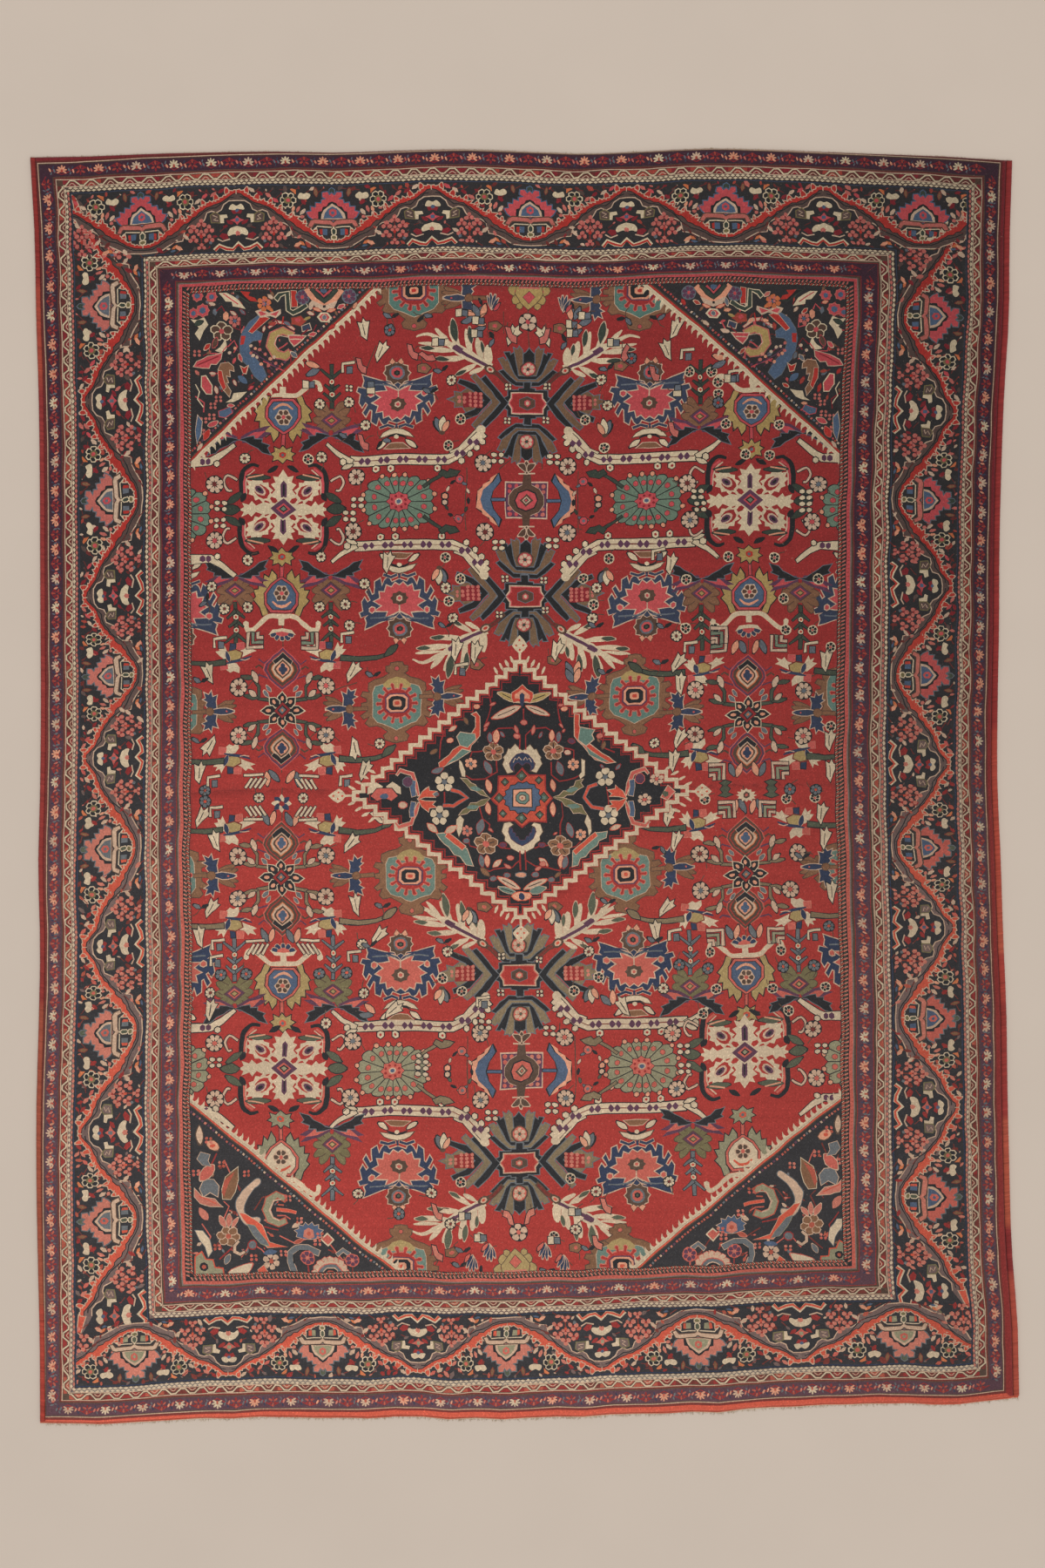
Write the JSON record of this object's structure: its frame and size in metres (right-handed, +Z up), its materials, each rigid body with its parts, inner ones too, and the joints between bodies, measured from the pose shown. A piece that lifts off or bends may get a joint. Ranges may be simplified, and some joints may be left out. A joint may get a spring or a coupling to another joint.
{
  "type": "persian rug",
  "caption": "Hand-knotted room-size wool rug lying flat, with a central lozenge medallion, wide navy border, overcast long edges and worn short fringe.",
  "frame": {"origin": "middle of the footprint, on the underside that rests on the floor", "axes": "+Z up out of the pile; +Y along the rug's length towards its far end, where only wisps of warp are left; +X across it to the right when seen from the near end, the end with the longer fringe"},
  "size_m": [2.7234, 3.527, 0.0085],
  "materials": {
    "pile_wool": "worn matte wool pile in reds, navy, ivory, teal and brown",
    "binding_wool": "matte overcast red wool, changing from crimson to orange-red along the edge",
    "web_cotton": "matte undyed cotton warps, grey-cream"
  },
  "bodies": {
    "root": {"rug_cloth": "pile_wool", "binding_left": "binding_wool", "binding_right": "binding_wool", "fringe_near": "web_cotton", "fringe_far": "web_cotton"}
  },
  "joints": []
}
